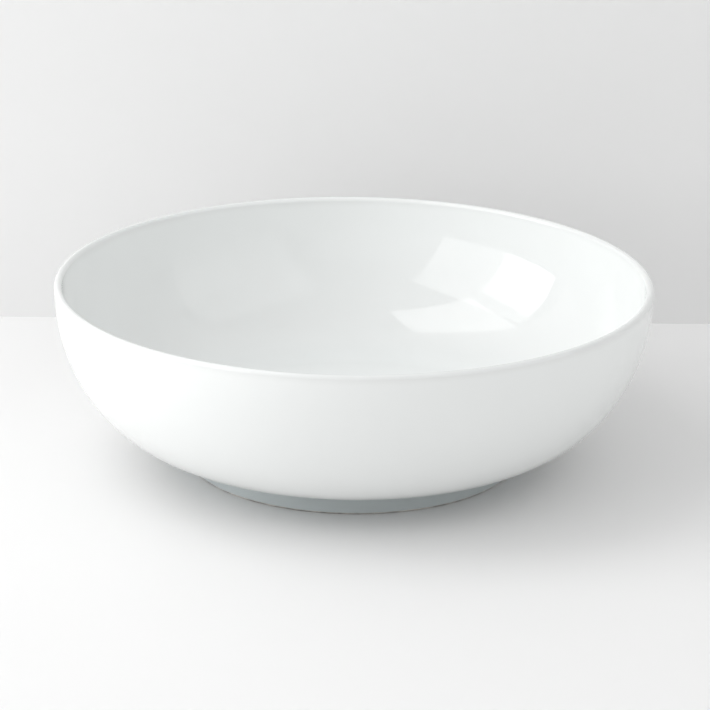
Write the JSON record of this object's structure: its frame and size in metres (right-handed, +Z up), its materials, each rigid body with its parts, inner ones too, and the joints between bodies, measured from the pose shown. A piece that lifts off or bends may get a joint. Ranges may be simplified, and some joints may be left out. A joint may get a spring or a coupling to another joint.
{
  "type": "serving bowl",
  "caption": "Wide round porcelain serving bowl with a deep curved wall, a rounded lip and a low foot ring.",
  "frame": {"origin": "on the table, under the middle of the foot ring", "axes": "+Z up along the bowl's axis of revolution; X and Y are any two level directions"},
  "size_m": [0.3, 0.3, 0.0938],
  "materials": {
    "bare_porcelain": "bare fired white porcelain, fine matt grain, hidden under the glaze",
    "foot_biscuit": "bare turned standing edge of the foot, matt and slightly toasted",
    "outside_glaze": "clear gloss glaze over white porcelain, very faintly cool",
    "inside_glaze": "clear gloss glaze over white porcelain, with light use marks on the floor",
    "recess_glaze": "clear gloss glaze in the foot's recess, a little uneven"
  },
  "bodies": {
    "root": {"porcelain_body": "bare_porcelain", "foot_ring": "foot_biscuit", "outer_glaze": "outside_glaze", "inner_glaze": "inside_glaze", "base_glaze": "recess_glaze"}
  },
  "joints": []
}
